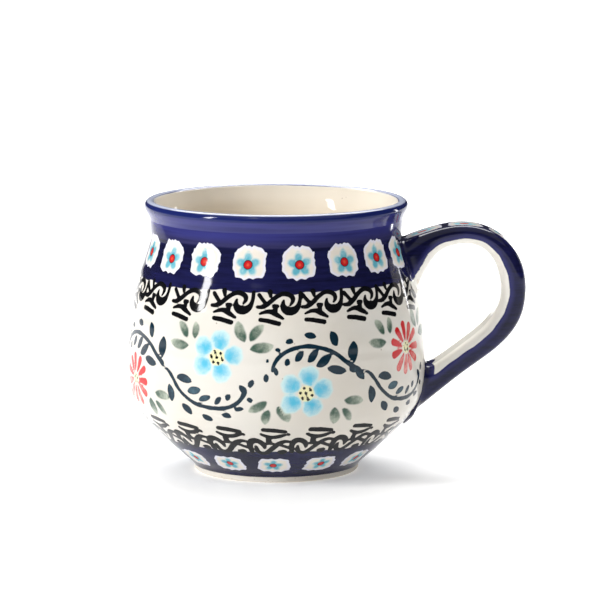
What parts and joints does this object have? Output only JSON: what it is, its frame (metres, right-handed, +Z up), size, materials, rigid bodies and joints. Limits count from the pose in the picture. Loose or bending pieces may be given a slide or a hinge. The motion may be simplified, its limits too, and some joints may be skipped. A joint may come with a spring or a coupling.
{
  "type": "stoneware mug",
  "caption": "Bellied stoneware mug with flared neck, foot ring and luted strap handle, glazed and hand painted with cobalt bands, black scrolls, vines and flowers.",
  "frame": {"origin": "on the pot's turning axis, in the plane of the foot ring's resting flat", "axes": "+Z up along the turning axis, +X from the axis through the middle of the handle, +Y completes the right hand"},
  "size_m": [0.1259, 0.0946, 0.086],
  "materials": {
    "bare_stoneware": "matt, unglazed fired clay",
    "luting_slip": "matt fired slip",
    "painted_glaze": "glossy clear glaze over cobalt, black, teal, sage, blue and red underglaze painting on cream",
    "cobalt_glaze": "glossy clear glaze over brushed cobalt with white stamps",
    "cream_glaze": "glossy clear glaze over cream clay"
  },
  "bodies": {
    "root": {"cup_body": "bare_stoneware", "handle": "bare_stoneware", "upper_slip_joint": "luting_slip", "lower_slip_joint": "luting_slip", "outside_glaze": "painted_glaze", "inside_glaze": "cream_glaze", "handle_glaze": "cobalt_glaze", "base_glaze": "cream_glaze"}
  },
  "joints": []
}
